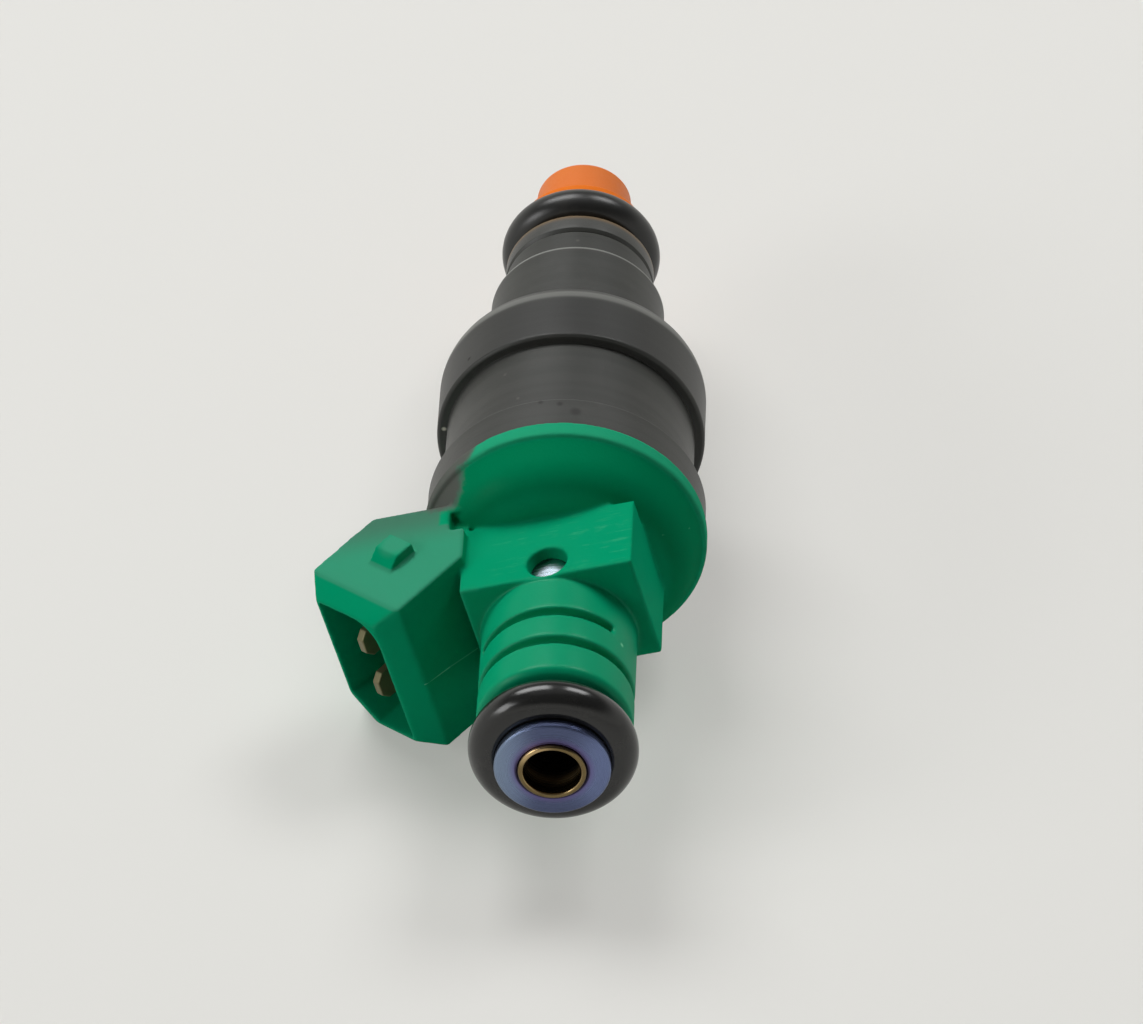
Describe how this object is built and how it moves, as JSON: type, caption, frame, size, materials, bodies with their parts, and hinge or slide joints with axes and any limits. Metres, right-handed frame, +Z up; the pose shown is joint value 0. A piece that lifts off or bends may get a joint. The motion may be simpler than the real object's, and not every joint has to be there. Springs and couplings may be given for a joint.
{
  "type": "fuel injector",
  "caption": "Solenoid fuel injector with a ribbed plastic neck, slanted plug socket, stepped steel shell, sealing rings at both ends and a sprung needle valve.",
  "frame": {"origin": "on the valve's axis, in the plane of the inlet flange's front face", "axes": "+Y along the valve's axis from the inlet to the nozzle, -X towards the plug socket, +Z up as the injector lies on its side"},
  "size_m": [0.0342, 0.0801, 0.0256],
  "materials": {
    "plated_steel": "blue zinc plate over turned steel",
    "brass": "satin, drawn",
    "nylon": "natural moulded",
    "filter_nylon": "dark moulded, with a woven screen",
    "rubber": "smooth moulded, lightly oiled",
    "green_plastic": "satin moulded",
    "tinned_bronze": "tinned, stamped",
    "bare_steel": "ground",
    "copper": "enamelled wire",
    "dark_steel": "dark satin coating over turned steel",
    "orange_plastic": "satin moulded"
  },
  "bodies": {
    "injector": {"inlet_tube": "plated_steel", "filter_collar": "brass", "filter_basket": "filter_nylon", "filter_screen": "filter_nylon", "rail_o_ring": "rubber", "connector_moulding": "green_plastic", "plug_socket": "green_plastic", "terminal_upper": "tinned_bronze", "terminal_lower": "tinned_bronze", "pole_plate": "bare_steel", "bobbin": "nylon", "coil_winding": "copper", "coil_leads": "copper", "upper_coil_seal": "rubber", "lower_coil_seal": "rubber", "adjusting_tube": "bare_steel", "return_spring": "bare_steel", "lift_shim": "bare_steel", "lift_stop_plate": "bare_steel", "nozzle_seal": "rubber", "nozzle_body": "dark_steel", "body_shell": "dark_steel", "support_ring": "dark_steel", "nozzle_o_ring": "rubber", "pintle_cap": "orange_plastic"},
    "needle": {"armature": "bare_steel", "valve_needle": "bare_steel"}
  },
  "joints": [
    {"name": "needle_lift", "type": "slide", "parent": "injector", "child": "needle", "axis": [0, -1, 0], "range_m": [0, 0.00012], "stiffness_N_per_m": 4450, "deforming": ["return_spring"]}
  ]
}
